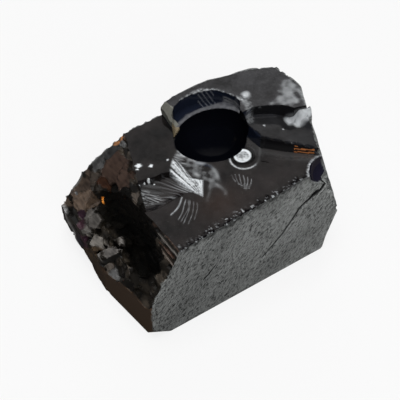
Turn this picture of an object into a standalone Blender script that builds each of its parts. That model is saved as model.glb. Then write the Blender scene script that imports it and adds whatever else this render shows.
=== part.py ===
"""A broken piece of shungite: one solid of glassy black stone, about 65 mm long, lying on its flat base.

It split along flat joints on its base, front, back and ends. The rest broke the way glass does, in
shell-shaped scars, so the solid is a block trimmed by planes and then carved by ellipsoids.
The block is laid out from its front left bottom corner: X runs right along the foot of the front face,
Y runs back and Z up. At the end the stone is moved so that the middle of its base is the origin.
"""

import math
import random

import bmesh
import bpy
from mathutils import Matrix, Vector, noise

MM = 0.001

# Driving dimensions of the block, in millimetres from its front left bottom corner.
LEFT_END = -3.4  # the left end bulges this far past the corner
LENGTH = 64.6  # from the corner to the right end
DEPTH = 47.2
HEIGHT = 39.5
FRONT_LEAN = 8.0  # degrees that the front face leans back
TABLE_HEIGHT = 26.5  # of the broad glassy top, at the left end
TABLE_RISE = 4.2  # degrees that the glassy top climbs towards the right end
FINE = 0  # added to the subdivisions of every cutter


def mm(x, y, z):
    return Vector((x, y, z)) * MM


def front_y(z):
    """How far back the leaning front face is at a height."""
    return z * math.tan(math.radians(FRONT_LEAN))


def table_z(x):
    """The height of the glassy top at a distance along the stone."""
    return TABLE_HEIGHT + x * math.tan(math.radians(TABLE_RISE))


def clear_scene():
    for obj in list(bpy.data.objects):
        bpy.data.objects.remove(obj, do_unlink=True)


def collection(name, rendered=True):
    made = bpy.data.collections.new(name)
    made.hide_render = not rendered
    bpy.context.scene.collection.children.link(made)
    return made


def move_to(obj, target):
    for old in list(obj.users_collection):
        old.objects.unlink(obj)
    target.objects.link(obj)


def combine(stone, shape, operation, overlapping=False):
    """Takes the shape out of the stone, or joins it on."""
    change = stone.modifiers.new(shape.name, "BOOLEAN")
    change.operation = operation
    change.solver = "EXACT"
    change.use_self = overlapping
    change.object = shape


def trim(stone, point, normal):
    """Splits the stone along a flat joint, and drops what lies beyond it."""
    bm = bmesh.new()
    bm.from_mesh(stone.data)
    everything = bm.verts[:] + bm.edges[:] + bm.faces[:]
    cut = bmesh.ops.bisect_plane(
        bm, geom=everything, plane_co=point, plane_no=normal, clear_outer=True, dist=1e-7
    )
    rim = [part for part in cut["geom_cut"] if isinstance(part, bmesh.types.BMEdge)]
    bmesh.ops.contextual_create(bm, geom=rim)
    bmesh.ops.recalc_face_normals(bm, faces=bm.faces[:])
    bm.to_mesh(stone.data)
    bm.free()


def turned_to(facing, spin=0.0):
    """Turns a shape by spin degrees about Z, and then points its Z along facing."""
    towards = Vector(facing).to_track_quat("Z", "Y").to_matrix().to_4x4()
    return towards @ Matrix.Rotation(math.radians(spin), 4, "Z")


def place(shape, centre, size, facing=(0, 0, 1), spin=0.0):
    """Gives a unit primitive its size, direction and place in millimetres."""
    scale = Matrix.Diagonal((*(length * MM for length in size), 1.0))
    shape.data.transform(Matrix.Translation(mm(*centre)) @ turned_to(facing, spin) @ scale)
    return shape


def scar(name, low_point, radii, facing=(0, 0, 1), spin=0.0, detail=4, roundness=1.0):
    """A shell-shaped scar: an ellipsoid whose pole touches low_point, the deepest point of the scar.

    A roundness under 1 makes it boxy, with steep sides and a flat floor.
    """
    bpy.ops.mesh.primitive_ico_sphere_add(subdivisions=detail + FINE, radius=1.0)
    shape = bpy.context.object
    shape.name = name
    shape.data.shade_smooth()
    for vertex in shape.data.vertices:
        vertex.co = [math.copysign(abs(way) ** roundness, way) for way in vertex.co]
    centre = Vector(low_point) + Vector(facing).normalized() * radii[2]
    return place(shape, centre, radii, facing, spin)


def slab(name, centre, size, facing=(0, 0, 1), spin=0.0):
    """A flat-sided block, for a joint that only reaches part of the stone."""
    bpy.ops.mesh.primitive_cube_add(size=1.0)
    shape = bpy.context.object
    shape.name = name
    return place(shape, centre, size, facing, spin)


def splinter(name, centre, size, facing, spin=0.0):
    """A five-sided splinter, a little narrower at its tip."""
    bpy.ops.mesh.primitive_cone_add(vertices=5, radius1=0.55, radius2=0.4, depth=1.0)
    shape = bpy.context.object
    shape.name = name
    return place(shape, centre, size, facing, spin)


def break_up(shape, cell, depth):
    """Turns a smooth cutter into one of flat facets and ledges, each about a cell across."""
    middle = sum((vertex.co for vertex in shape.data.vertices), Vector()) / len(shape.data.vertices)
    for vertex in shape.data.vertices:
        spot = vertex.co / (cell * MM)
        nearest = noise.voronoi(spot)[1][0]
        outward = (vertex.co - middle).normalized()
        step = noise.noise(nearest * 3.7)
        tilt = noise.noise_vector(nearest * 5.1).dot(spot - nearest)
        vertex.co += outward * (depth * MM) * (step + 0.8 * tilt)
    shape.data.shade_flat()
    return shape


def prism(name, outline, floor_point, floor_normal, height=60):
    """An upright cutter with the given plan outline, whose floor is a tilted plane."""
    curve = bpy.data.curves.new(name, "CURVE")
    curve.dimensions = "2D"
    curve.fill_mode = "BOTH"
    curve.extrude = height * MM
    spline = curve.splines.new("POLY")
    spline.points.add(len(outline) - 1)
    for point, (x, y) in zip(spline.points, outline):
        point.co = (x * MM, y * MM, 0.0, 1.0)
    spline.use_cyclic_u = True
    shape = as_mesh(name, curve)
    trim(shape, mm(*floor_point), -Vector(floor_normal))
    return shape


def groove(name, route):
    """A cutter along a crack: a thin tube through points that each have a width."""
    curve = bpy.data.curves.new(name, "CURVE")
    curve.dimensions = "3D"
    curve.bevel_depth = 0.5 * MM
    curve.bevel_resolution = 1
    curve.use_fill_caps = True
    spline = curve.splines.new("POLY")
    spline.points.add(len(route) - 1)
    for point, (place_on_stone, width) in zip(spline.points, route):
        point.co = (*mm(*place_on_stone), 1.0)
        point.radius = width
    return as_mesh(name, curve)


def as_mesh(name, curve):
    """A closed mesh object in place of a curve."""
    outline = bpy.data.objects.new(name + ".outline", curve)
    bpy.context.scene.collection.objects.link(outline)
    bpy.context.view_layer.update()
    seen = outline.evaluated_get(bpy.context.evaluated_depsgraph_get())
    mesh = bpy.data.meshes.new_from_object(seen)
    bpy.data.objects.remove(outline, do_unlink=True)
    bm = bmesh.new()
    bm.from_mesh(mesh)
    bmesh.ops.remove_doubles(bm, verts=bm.verts[:], dist=1e-6)
    bmesh.ops.recalc_face_normals(bm, faces=bm.faces[:])
    bm.to_mesh(mesh)
    bm.free()
    mesh.shade_flat()
    shape = bpy.data.objects.new(name, mesh)
    bpy.context.scene.collection.objects.link(shape)
    return shape


def crumbs(name, places, largest, seed):
    """Small chips knocked out along an edge, joined in one cutter."""
    chance = random.Random(seed)
    bm = bmesh.new()
    for spot in places:
        wobble = Vector([chance.uniform(-0.5, 0.5) for _ in range(3)])
        size = [largest * chance.uniform(0.35, 1.0) for _ in range(3)]
        turn = turned_to([chance.uniform(-1, 1) for _ in range(3)], chance.uniform(0, 180))
        at = Matrix.Translation((Vector(spot) + wobble) * MM)
        scale = Matrix.Diagonal((*(length * MM for length in size), 1.0))
        bmesh.ops.create_icosphere(bm, subdivisions=1, radius=1.0, matrix=at @ turn @ scale)
    mesh = bpy.data.meshes.new(name)
    bm.to_mesh(mesh)
    bm.free()
    shape = bpy.data.objects.new(name, mesh)
    bpy.context.scene.collection.objects.link(shape)
    return shape


# Flat joints, each a point on the plane and the way out of the stone.
JOINTS = {
    "front": ((30, 0, 0), (0, -math.cos(math.radians(FRONT_LEAN)), math.sin(math.radians(FRONT_LEAN)))),
    "front left foot": ((0.6, 1.5, 1), (-0.42, -0.78, -0.46)),
    "left end": ((LEFT_END, 20, 2), (-0.985, -0.14, 0.06)),
    "left end back": ((LEFT_END, 25, 2), (-0.99, 0.05, 0.06)),
    "left slope": ((0, 8, 12.8), (-0.84, -0.05, 0.54)),
    "left back slope": ((2.3, 47.5, 16.8), (-0.82, 0.09, 0.57)),
    "left shoulder": ((10, 47.5, 22.4), (-0.50, 0.15, 0.86)),
    "back": ((30, DEPTH, 10), (0.02, 1, 0.02)),
    "back right": ((50, 42, 20), (0.33, 0.94, 0.05)),
    "right end": ((61.5, 1.2, 11), (0.985, -0.16, 0.06)),
    "right end back": ((LENGTH, 25, 20), (1, 0.12, 0.02)),
    "right foot": ((55.7, 0, 0.6), (0.90, -0.1, -0.42)),
    "right corner": ((62.1, 18.7, 34), (0.85, -0.42, 0.3)),
    "right back": ((63.6, 33.5, HEIGHT), (0.8, 0.35, 0.45)),
    "crest": ((55, 30, HEIGHT - 0.7), (-0.06, 0.02, 1)),
    "left crest": ((38.1, 46.5, 35.3), (-0.36, 0.1, 1)),
}


def block():
    """The stone as its joints left it, before the glassy scars."""
    bpy.ops.mesh.primitive_cube_add(size=1.0)
    stone = bpy.context.object
    stone.name = "stone"
    corner = Vector((LEFT_END - 6, -4, 0))
    far_corner = Vector((LENGTH + 6, DEPTH + 8, HEIGHT + 4))
    place(stone, (corner + far_corner) / 2, far_corner - corner)
    for point, normal in JOINTS.values():
        trim(stone, mm(*point), Vector(normal))
    return stone


def top_cutters():
    """The broad glassy table, and the step and the crescent in the block left standing at the back."""
    rise = math.radians(TABLE_RISE)
    table = [(-12, 60), (31.5, 60), (31, 44), (30.5, 40), (27.5, 33), (30, 27), (38, 28), (45.8, 25),
             (46.3, 19.8), (50.9, 14.6), (56.1, 9.6), (66, 1), (66, -12), (-12, -12)]
    yield prism("table", table, (0, 0, TABLE_HEIGHT), (-math.sin(rise), 0, math.cos(rise)))
    step = [(48.4, 27.0), (52.5, 25.0), (55.4, 22.9), (57.4, 20.2), (62.5, 18.6), (70, 17), (70, -5), (40, -5), (40, 27)]
    yield prism("step", step, (50, 24, 34.8), (0.0, -0.08, 1))
    crescent = [(30.9, 39.6), (31.6, 41.7), (33.2, 43.0), (35.6, 43.5), (38.2, 42.8), (40.1, 41.6), (42.6, 39.9),
                (44.4, 38.1), (46.0, 35.6), (46.9, 33.3), (47.0, 31.0), (45, 28), (36, 28), (29, 32)]
    yield prism("crescent", crescent, (37, 33, 31.4), (-0.33, 0, 1))
    yield slab("block end", (28.6, 46.5, 38.2), (16, 12, 12), facing=(-0.79, 0, 0.61))


def scars():
    """Shell-shaped scars: the bowl, and the shallow scoops on the table."""
    yield scar("bowl", (36.7, 30.3, 22.4), (10.5, 8.4, 10.4), spin=-33)
    yield scar("back scoop", (20, 37.5, table_z(20) - 1.1), (11.5, 9.8, 2.4), spin=-20)
    yield scar("front scoop", (22, 11.5, table_z(22) - 0.9), (13, 6.4, 2.4), spin=-6)
    yield scar("fan", (15.6, 22.0, table_z(15) - 1.4), (13, 6.4, 4.0), spin=-28)
    yield scar("eye", (40.4, 20.0, table_z(41) - 0.5), (4.4, 4.4, 3.6), detail=3)
    yield scar("right corner", (54.0, 5.6, 27.0), (5.2, 4.6, 4.2), facing=(0.45, -0.55, 0.7), detail=3)


def hidden_scars():
    """Wide shallow scars on the back and on the right end."""
    yield scar("back left scar", (15, 46.8, 13), (15, 9, 6), facing=(0.1, 1, -0.1), detail=3)
    yield scar("back right scar", (47, 41.5, 21), (12, 14, 7), facing=(0.3, 0.95, 0.1), detail=3)
    yield scar("right end scar", (62.6, 27, 17), (12, 10, 6), facing=(1, 0.1, 0.05), detail=3)
    yield scar("right foot scar", (59.5, 13, 5), (8, 6, 4), facing=(0.9, -0.1, -0.35), detail=3)


def broken_end():
    """The rough left end: a trench beside the table, and the pits and flakes around it."""
    trench = scar("trench", (5.0, 25.1, 9.4), (4.6, 16, 13), (0, -0.24, 0.97), roundness=0.85)
    yield break_up(trench, cell=4.0, depth=0.7)
    ledges = [(10.6, 1.5), (10.4, 6), (10.1, 9), (9.8, 12), (9.7, 16), (9.2, 19.5), (8.6, 22), (5, 22), (5, 1.5)]
    yield prism("trench ledges", ledges, (10.3, 10, 27.2), (-1.5, 0, 1))
    yield scar("trench mouth", (-0.3, 23.5, 9.0), (12.5, 6.5, 6), facing=(-0.5, 0, 0.86))
    upper_pit = scar("upper pit", (3.5, 32, 12), (7, 8, 9), facing=(-0.45, -0.1, 0.88), roundness=0.8)
    yield break_up(upper_pit, cell=3.5, depth=1.2)
    yield scar("back flake", (3.5, 44, 16.0), (7, 6, 5), facing=(-0.7, 0.1, 0.7), detail=3)
    yield scar("rippled flake", (9.5, 37, 21.5), (6, 6, 5), facing=(-0.5, 0, 0.86), detail=3)
    yield scar("corner flake", (-2.0, 43, 10), (4, 6, 4), facing=(-0.8, 0, 0.6), detail=3)
    yield scar("foot flake", (-0.5, 6, 10.5), (4, 5, 4), facing=(-0.6, -0.3, 0.75), detail=3)


def splinters():
    """Flat pieces that still stand in the trench and on the foot of the broken end."""
    yield splinter("plate", (0.3, 24.6, 9.6), (8.5, 3.6, 4.0), facing=(-0.25, -0.35, 0.9), spin=12)
    yield splinter("grey flake", (-0.4, 29.5, 10.3), (4.6, 5.0, 5.0), facing=(-0.5, -0.5, 0.7), spin=30)
    yield splinter("standing flake", (2.2, 34.5, 12.5), (4.2, 4.6, 6.0), facing=(-0.7, -0.3, 0.65), spin=15)
    yield splinter("foot splinter", (1.2, 17.5, 8.8), (4.5, 3.2, 4.0), facing=(-0.2, -0.6, 0.75), spin=50)
    yield splinter("trench splinter", (5.5, 25.5, 11.5), (3.4, 5.4, 5.0), facing=(-0.4, -0.5, 0.75), spin=80)


def chipped_edges():
    """Small chips along the top of the front face and round the rim of the broken end."""
    front = [(x, front_y(table_z(x)), table_z(x)) for x in range(9, 59, 2)]
    left = [(8.0 + 0.12 * y, y, table_z(8)) for y in range(6, 30, 3)]
    wall_top = [(46.5 + 1.2 * n, 20.2 - 1.3 * n, 34.4) for n in range(8)]
    yield crumbs("front edge chips", front, largest=1.1, seed=3)
    yield crumbs("left edge chips", left, largest=1.3, seed=5)
    yield crumbs("wall chips", wall_top, largest=0.8, seed=8)


def cracks():
    """The cracks in the front face and in the table."""
    def on_front(x, z):
        return (x, front_y(z), z)

    yield groove("long crack", [
        (on_front(56.5, 24.2), 1.6), (on_front(53.6, 22.7), 2.2), (on_front(51.8, 21.6), 0.9),
        (on_front(48.4, 20.6), 0.7), (on_front(44.6, 16.5), 0.6), (on_front(39.4, 11.9), 0.5), (on_front(34.6, 9.0), 0.4),
    ])
    yield groove("short crack", [(on_front(16.9, 13.1), 0.4), (on_front(18.5, 14.3), 0.6), (on_front(19.9, 15.5), 0.4)])
    yield groove("table crack", [
        ((43.6, 16.4, table_z(43.6) - 0.8), 0.5), ((46, 11, table_z(46) - 0.9), 0.6),
        ((48.9, 4.0, table_z(48.9)), 0.8),
    ])


def black_stone():
    made = bpy.data.materials.new("shungite")
    made.use_nodes = True
    surface = made.node_tree.nodes["Principled BSDF"]
    surface.inputs["Base Color"].default_value = (0.012, 0.012, 0.014, 1)
    surface.inputs["Roughness"].default_value = 0.12
    surface.inputs["Metallic"].default_value = 0.0
    return made


def stand_on_origin(objects, stone):
    """Moves everything so that the middle of the stone's base is the origin."""
    bpy.context.view_layer.update()
    seen = stone.evaluated_get(bpy.context.evaluated_depsgraph_get())
    low = Vector([min(corner[axis] for corner in seen.bound_box) for axis in range(3)])
    high = Vector([max(corner[axis] for corner in seen.bound_box) for axis in range(3)])
    middle = (low + high) / 2
    shift = Matrix.Translation((-middle.x, -middle.y, -low.z))
    for obj in objects:
        obj.data.transform(shift)


def main():
    clear_scene()
    helpers = collection("cutters", rendered=False)
    parts = collection("shungite")
    stone = block()
    shapes = []
    for group, operation, overlapping in (
        (top_cutters(), "DIFFERENCE", False),
        (scars(), "DIFFERENCE", False),
        (hidden_scars(), "DIFFERENCE", False),
        (broken_end(), "DIFFERENCE", False),
        (splinters(), "UNION", False),
        (chipped_edges(), "DIFFERENCE", True),
        (cracks(), "DIFFERENCE", False),
    ):
        for shape in group:
            combine(stone, shape, operation, overlapping)
            shape.hide_render = True
            shape.display_type = "WIRE"
            move_to(shape, helpers)
            shapes.append(shape)
    stone.data.materials.append(black_stone())
    move_to(stone, parts)
    stand_on_origin([stone] + shapes, stone)


main()
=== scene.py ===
import math
import random

import bpy
import numpy as np
from mathutils import Matrix, Vector, noise


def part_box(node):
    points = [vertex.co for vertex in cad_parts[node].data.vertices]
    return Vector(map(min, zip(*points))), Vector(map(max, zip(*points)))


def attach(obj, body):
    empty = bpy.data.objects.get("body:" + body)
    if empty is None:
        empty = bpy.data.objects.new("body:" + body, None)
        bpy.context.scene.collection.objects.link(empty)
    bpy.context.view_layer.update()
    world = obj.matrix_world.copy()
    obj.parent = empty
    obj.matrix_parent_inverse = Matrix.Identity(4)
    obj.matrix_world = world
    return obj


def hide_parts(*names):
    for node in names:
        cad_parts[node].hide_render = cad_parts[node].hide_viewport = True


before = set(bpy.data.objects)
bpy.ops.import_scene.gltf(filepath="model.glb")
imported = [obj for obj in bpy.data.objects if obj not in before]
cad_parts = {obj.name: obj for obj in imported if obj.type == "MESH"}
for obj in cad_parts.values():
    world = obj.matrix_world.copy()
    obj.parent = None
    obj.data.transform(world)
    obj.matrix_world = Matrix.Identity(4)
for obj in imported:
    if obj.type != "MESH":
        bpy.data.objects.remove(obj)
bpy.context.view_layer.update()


# The block. Shungite splits along flat joints, so the piece starts as a block with a flat base, a
# front that leans back and ends that bulge. Its front left bottom corner is the corner that every
# size here is measured from, in millimetres: X runs right along the front, Y back and Z up.
LEFT_BULGE = 3.71  # the left end reaches this far past the corner
FRONT_LEAN = math.radians(8.0)
stone_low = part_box("stone")[0]
corner = Vector((stone_low[0] + LEFT_BULGE / 1000, stone_low[1], stone_low[2]))
# Every face is a point on it and the way it faces.
FRONT = ((30, 0, 0), (0, -math.cos(FRONT_LEAN), math.sin(FRONT_LEAN)))
FOOT_CORNER = ((0.6, 1.5, 1), (-0.42, -0.78, -0.46))
LEFT_FOOT = [((-3.4, 20, 2), (-0.985, -0.14, 0.06)), ((-3.4, 25, 2), (-0.99, 0.05, 0.06))]
TORN_END = [
    ((0, 8, 12.8), (-0.84, -0.05, 0.54)),
    ((2.3, 47.5, 16.8), (-0.82, 0.09, 0.57)),
    ((10, 47.5, 22.4), (-0.50, 0.15, 0.86)),
]
BACK = [((30, 47.2, 10), (0.02, 1, 0.02)), ((50, 42, 20), (0.33, 0.94, 0.05))]
RIGHT = [
    ((61.5, 1.2, 11), (0.985, -0.16, 0.06)),
    ((64.6, 25, 20), (1, 0.12, 0.02)),
    ((55.7, 0, 0.6), (0.90, -0.1, -0.42)),
    ((62.1, 18.7, 34), (0.85, -0.42, 0.3)),
    ((63.6, 33.5, 39.5), (0.8, 0.35, 0.45)),
]
CREST = [((55, 30, 38.8), (-0.06, 0.02, 1)), ((38.1, 46.5, 35.3), (-0.36, 0.1, 1))]


def mm(x, y, z):
    return corner + Vector((x, y, z)) / 1000


def split(point, normal):
    bpy.ops.object.mode_set(mode="EDIT")
    bpy.ops.mesh.select_all(action="SELECT")
    bpy.ops.mesh.bisect(
        plane_co=mm(*point), plane_no=Vector(normal).normalized(), use_fill=True, clear_outer=True
    )
    bpy.ops.object.mode_set(mode="OBJECT")


bpy.ops.object.select_all(action="DESELECT")
bpy.ops.mesh.primitive_cube_add(size=1, location=mm(30, 24, 22), scale=(0.084, 0.064, 0.044))
stone = bpy.context.object
stone.name = "shungite_stone"
bpy.ops.object.transform_apply(location=True, rotation=True, scale=True)
for face in (FRONT, FOOT_CORNER, *LEFT_FOOT, *TORN_END, *BACK, *RIGHT, *CREST):
    split(*face)


# The glassy table and the block left standing behind it. The top broke away in two steps, leaving
# a broad table that climbs to the right, and a step in the block at the back right.
TABLE_HEIGHT = 26.5
TABLE_RISE = math.tan(math.radians(4.2))
STEP_HEIGHT = 34.8
STEP_RISE = 0.08  # towards the back
WALL = [(46.3, 19.8), (50.9, 14.6), (56.1, 9.6)]  # the foot of the wall between table and block
STEP_EDGE = [(48.4, 27.0), (52.5, 25.0), (55.4, 22.9), (57.4, 20.2), (62.5, 18.6)]


def table_z(x):
    return TABLE_HEIGHT + x * TABLE_RISE


def step_z(y):
    return STEP_HEIGHT + STEP_RISE * (y - 24)


def carve(tool, operation="DIFFERENCE"):
    bpy.ops.object.select_all(action="DESELECT")
    stone.select_set(True)
    bpy.context.view_layer.objects.active = stone
    cut = stone.modifiers.new(tool.name, "BOOLEAN")
    cut.object = tool
    cut.operation = operation
    cut.solver = "EXACT"
    bpy.ops.object.modifier_apply(modifier=cut.name)
    bpy.data.objects.remove(tool)


def outline_tool(outline, floor):
    """A block with a plan outline. Its floor follows the height that floor(x, y) gives."""
    bpy.ops.object.select_all(action="DESELECT")
    bpy.ops.mesh.primitive_circle_add(vertices=len(outline), fill_type="NGON")
    tool = bpy.context.object
    for vertex, (x, y) in zip(tool.data.vertices, outline):
        vertex.co = mm(x, y, floor(x, y))
    bpy.ops.object.mode_set(mode="EDIT")
    bpy.ops.mesh.select_all(action="SELECT")
    bpy.ops.mesh.extrude_region_move(TRANSFORM_OT_translate={"value": (0, 0, 0.03)})
    bpy.ops.mesh.select_all(action="SELECT")
    bpy.ops.mesh.normals_make_consistent(inside=False)
    bpy.ops.object.mode_set(mode="OBJECT")
    tool.location = (0, 0, 0)
    return tool


carve(outline_tool(
    [(-12, 60), (31.5, 60), (31, 44), (30.5, 40), (27.5, 33), (30, 27), (38, 28), (45.8, 25),
     *WALL, (66, 1), (66, -12), (-12, -12)],
    lambda x, y: table_z(x),
))
carve(outline_tool(
    [*STEP_EDGE, (70, 17), (70, -5), (40, -5), (40, 27)],
    lambda x, y: step_z(y),
))


# The shell-shaped scars. Glassy stone breaks in smooth hollows like the inside of a shell: the
# deep bowl, the crescent behind its lip, and the small scars on the corner and the hidden sides.
def turned_to(facing, spin=0.0):
    facing = Vector(facing).to_track_quat("Z", "Y").to_matrix().to_4x4()
    return facing @ Matrix.Rotation(math.radians(spin), 4, "Z")


def hollow(low_point, radii, facing=(0, 0, 1), spin=0.0):
    """Places a unit ball as an ellipsoid whose pole touches the deepest point of a scar."""
    facing = Vector(facing).normalized()
    turn = turned_to(facing, spin)
    size = Matrix.Diagonal((*(radius / 1000 for radius in radii), 1))
    return Matrix.Translation(mm(*low_point) + facing * radii[2] / 1000) @ turn @ size


def scar(low_point, radii, facing=(0, 0, 1), spin=0.0, roundness=1.0, detail=6):
    """The tool that carves a scar. Under 1, roundness squares its sides."""
    bpy.ops.object.select_all(action="DESELECT")
    bpy.ops.mesh.primitive_ico_sphere_add(subdivisions=detail, radius=1)
    tool = bpy.context.object
    for vertex in tool.data.vertices:
        vertex.co = [math.copysign(abs(way) ** roundness, way) for way in vertex.co]
    tool.data.transform(hollow(low_point, radii, facing, spin))
    return tool


BEVEL_FACING = (-0.79, 0, 0.61)
CRESCENT_FLOOR = 31.4
CRESCENT_RISE = 0.33
bpy.ops.mesh.primitive_cube_add(size=1)
block_end = bpy.context.object
block_end.data.transform(
    Matrix.Translation(mm(28.6, 46.5, 38.2))
    @ turned_to(BEVEL_FACING)
    @ Matrix.Diagonal((0.016, 0.012, 0.012, 1))
)
carve(block_end)
carve(outline_tool(
    [(30.9, 39.6), (31.6, 41.7), (33.2, 43.0), (35.6, 43.5), (38.2, 42.8), (40.1, 41.6), (42.6, 39.9),
     (44.4, 38.1), (46.0, 35.6), (46.9, 33.3), (47.0, 31.0), (45, 28), (36, 28), (29, 32)],
    lambda x, y: CRESCENT_FLOOR + CRESCENT_RISE * (x - 37),
))
# Each scar is its deepest point, its radii, the way it faces and, for the bowl, how far it is spun.
BOWL = ((36.7, 30.3, 22.4), (10.5, 8.4, 10.4), (0, 0, 1), -33)
CORNER_SCAR = ((54.0, 5.6, 27.0), (5.2, 4.6, 4.2), (0.45, -0.55, 0.7))
HIDDEN_SCARS = [
    ((15, 46.8, 13), (15, 9, 6), (0.1, 1, -0.1)),
    ((47, 41.5, 21), (12, 14, 7), (0.3, 0.95, 0.1)),
    ((62.6, 27, 17), (12, 10, 6), (1, 0.1, 0.05)),
    ((59.5, 13, 5), (8, 6, 4), (0.9, -0.1, -0.35)),
]
carve(scar(*BOWL))
for small in (CORNER_SCAR, *HIDDEN_SCARS):
    carve(scar(*small, detail=5))


# The rough left end. It tore instead of splitting: a black trench runs along the table's edge, with
# pits behind it, and flat splinters still stand between them.
def splinter(centre, size, facing, spin=0.0):
    bpy.ops.object.select_all(action="DESELECT")
    bpy.ops.mesh.primitive_cone_add(vertices=5, radius1=0.55, radius2=0.4, depth=1)
    tool = bpy.context.object
    size = Matrix.Diagonal((*(length / 1000 for length in size), 1))
    tool.data.transform(Matrix.Translation(mm(*centre)) @ turned_to(facing, spin) @ size)
    return tool


TRENCH_TOP = 27.2
TRENCH_FALL = 1.5
carve(scar((5.0, 25.1, 9.4), (4.6, 16, 13), facing=(0, -0.24, 0.97), roundness=0.85))
carve(outline_tool(
    [(10.6, 1.5), (10.4, 6), (10.1, 9), (9.8, 12), (9.7, 16), (9.2, 19.5), (8.6, 22), (5, 22), (5, 1.5)],
    lambda x, y: TRENCH_TOP - TRENCH_FALL * (10.3 - x),
))
carve(scar((-0.3, 23.5, 9.0), (12.5, 6.5, 6), facing=(-0.5, 0, 0.86), detail=5))
carve(scar((3.5, 32, 12), (7, 8, 9), facing=(-0.45, -0.1, 0.88), roundness=0.8))
carve(scar((3.5, 44, 16.0), (7, 6, 5), facing=(-0.7, 0.1, 0.7), detail=5))
carve(scar((9.5, 37, 21.5), (6, 6, 5), facing=(-0.5, 0, 0.86), detail=5))
carve(scar((-2.0, 43, 10), (4, 6, 4), facing=(-0.8, 0, 0.6), detail=5))
carve(scar((-0.5, 6, 10.5), (4, 5, 4), facing=(-0.6, -0.3, 0.75), detail=5))
carve(splinter((0.3, 24.6, 9.6), (8.5, 3.6, 4.0), facing=(-0.25, -0.35, 0.9), spin=12), "UNION")
carve(splinter((-0.4, 29.5, 10.3), (4.6, 5.0, 5.0), facing=(-0.5, -0.5, 0.7), spin=30), "UNION")
carve(splinter((2.2, 34.5, 12.5), (4.2, 4.6, 6.0), facing=(-0.7, -0.3, 0.65), spin=15), "UNION")
carve(splinter((1.2, 17.5, 8.8), (4.5, 3.2, 4.0), facing=(-0.2, -0.6, 0.75), spin=50), "UNION")
carve(splinter((5.5, 25.5, 11.5), (3.4, 5.4, 5.0), facing=(-0.4, -0.5, 0.75), spin=80), "UNION")


# An even skin of small faces, finer on the glassy top and the rough end, and finest on the fan of
# fine ridges. The relief of the breaks is raised on it, vertex by vertex.
SKIN_CELL = 0.64  # about the size of its faces, where it isn't refined
bpy.context.view_layer.objects.active = stone
skin = stone.modifiers.new("skin", "REMESH")
skin.mode = "SHARP"
skin.octree_depth = 8
skin.scale = max(stone.dimensions) * 1000 / SKIN_CELL / 2**8
skin.use_remove_disconnected = True
bpy.ops.object.modifier_apply(modifier=skin.name)


def refine(wanted):
    """Splits in four each face whose centre x, y, z is wanted."""
    faces = stone.data.polygons
    centres = np.empty(len(faces) * 3)
    faces.foreach_get("center", centres)
    x, y, z = ((centres.reshape(-1, 3) - corner) * 1000).T
    bpy.ops.object.mode_set(mode="EDIT")
    bpy.ops.mesh.select_mode(type="FACE")
    bpy.ops.mesh.select_all(action="DESELECT")
    bpy.ops.object.mode_set(mode="OBJECT")
    faces.foreach_set("select", wanted(x, y, z))
    bpy.ops.object.mode_set(mode="EDIT")
    bpy.ops.mesh.subdivide(number_cuts=1)
    bpy.ops.object.mode_set(mode="OBJECT")


FAN_TIP = (24.6, 15.3)
EYE = (41.0, 20.6)
refine(lambda x, y, z: (
    (z > table_z(x) - 1.2) & (y < 47.0)
    | (x < 12) & (x > -2.8) & (z > 8.0) & (y < 46.6) & (y > 2)
))
refine(lambda x, y, z: (abs(z - table_z(x)) < 0.3) & (
    (np.hypot((x - 20.0) / 10.5, (y - 21.0) / 12.5) < 1) | (np.hypot(x - 39.5, y - 18.0) < 6.8)
))
CRACKS = [  # in x and z on the front
    [(57.0, 25.0), (55.5, 23.4), (54.8, 22.7), (52.2, 21.8), (48.4, 20.8), (46.4, 18.4), (44.6, 16.5),
     (42.0, 13.7), (39.4, 11.9), (34.6, 9.0)],
    [(16.4, 12.7), (18.2, 14.1), (20.2, 15.7)],
]
for near in (1.3, 0.9):
    refine(lambda x, y, z: (y < 6) & (y > -2) & (z < table_z(x) - 0.4) & np.any([
        [
            np.hypot(x - ax - (bx - ax) * part, z - az - (bz - az) * part) < near
            for part in (0, 0.2, 0.4, 0.6, 0.8, 1)
        ]
        for crack in CRACKS for (ax, az), (bx, bz) in zip(crack, crack[1:])
    ], axis=(0, 1)))

place = np.empty(len(stone.data.vertices) * 3)
stone.data.vertices.foreach_get("co", place)
place = (place.reshape(-1, 3) - corner) * 1000
facing = np.empty(len(stone.data.vertices) * 3)
stone.data.vertex_normals.foreach_get("vector", facing)
facing = facing.reshape(-1, 3)
x, y, z = place.T.copy()
start = place.copy()


def off(point, normal):
    """How far each vertex is off a plane, in millimetres."""
    normal = np.array(normal) / np.linalg.norm(normal)
    return (start - np.array(point)) @ normal


def waves(size, seed=0, among=None):
    """Smooth noise from about -1 to 1, with waves of about the given size in millimetres."""
    chosen = start if among is None else start[among]
    shift = Vector((seed * 7.3, seed * 3.1, seed * 5.7))
    return np.array([noise.noise(Vector(spot) / size + shift) for spot in chosen]) * 1.6


def within_hollow(scar_numbers):
    """How far each vertex is from the middle of a scar's ellipsoid, which has its surface at 1."""
    inward = np.array(hollow(*scar_numbers).inverted())
    spots = start / 1000 + np.array(corner)
    return np.linalg.norm(spots @ inward[:3, :3].T + inward[:3, 3], axis=1)


def smooth(low, high, value):
    ramp = np.clip((value - low) / (high - low), 0, 1)
    return ramp * ramp * (3 - 2 * ramp)


def rounded(route):
    """The route with its corners cut twice, which makes a smooth curve of it."""
    for again in range(2):
        cut = [route[0]]
        for here, ahead in zip(route, route[1:]):
            here, ahead = np.array(here, float), np.array(ahead, float)
            cut += [here * 0.75 + ahead * 0.25, here * 0.25 + ahead * 0.75]
        route = cut + [route[-1]]
    return [tuple(point) for point in route]


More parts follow.
